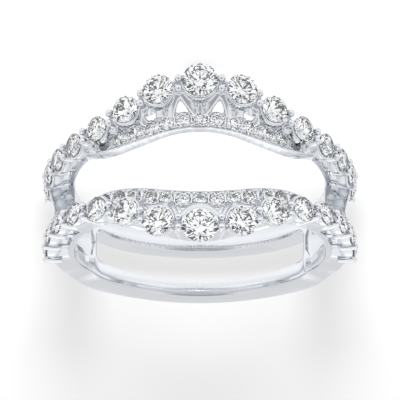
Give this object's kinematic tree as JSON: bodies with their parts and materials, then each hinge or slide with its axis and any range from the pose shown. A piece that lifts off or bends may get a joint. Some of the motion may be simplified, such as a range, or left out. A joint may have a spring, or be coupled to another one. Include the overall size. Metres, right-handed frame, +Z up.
{
  "type": "ring guard enhancer",
  "caption": "Ring guard enhancer: curved rows of graduated round stones on plain shanks, joined by a bridge at each side, with an open gap for a solitaire ring.",
  "frame": {"origin": "centre of the finger bore, midway between the back and the front band", "axes": "+Z up as the ring lies on a surface, +X across the finger bore, -Y towards the middle stones"},
  "size_m": [0.0218, 0.0223, 0.0131],
  "materials": {
    "white_metal": "polished and rhodium-bright",
    "clear_stone": "faceted and polished"
  },
  "bodies": {
    "root": {"ring_metal": "white_metal", "back_pave": "clear_stone", "front_pave": "clear_stone", "left_bridge_stone": "clear_stone", "right_bridge_stone": "clear_stone", "back_stone_1": "clear_stone", "back_stone_2": "clear_stone", "back_stone_3": "clear_stone", "back_stone_4": "clear_stone", "back_stone_5": "clear_stone", "back_stone_6": "clear_stone", "back_stone_7": "clear_stone", "back_stone_8": "clear_stone", "back_stone_9": "clear_stone", "back_stone_10": "clear_stone", "back_stone_11": "clear_stone", "back_stone_12": "clear_stone", "back_stone_13": "clear_stone", "back_stone_14": "clear_stone", "back_stone_15": "clear_stone", "front_stone_1": "clear_stone", "front_stone_2": "clear_stone", "front_stone_3": "clear_stone", "front_stone_4": "clear_stone", "front_stone_5": "clear_stone", "front_stone_6": "clear_stone", "front_stone_7": "clear_stone", "front_stone_8": "clear_stone", "front_stone_9": "clear_stone", "front_stone_10": "clear_stone", "front_stone_11": "clear_stone", "front_stone_12": "clear_stone", "front_stone_13": "clear_stone", "front_stone_14": "clear_stone", "front_stone_15": "clear_stone"}
  },
  "joints": []
}
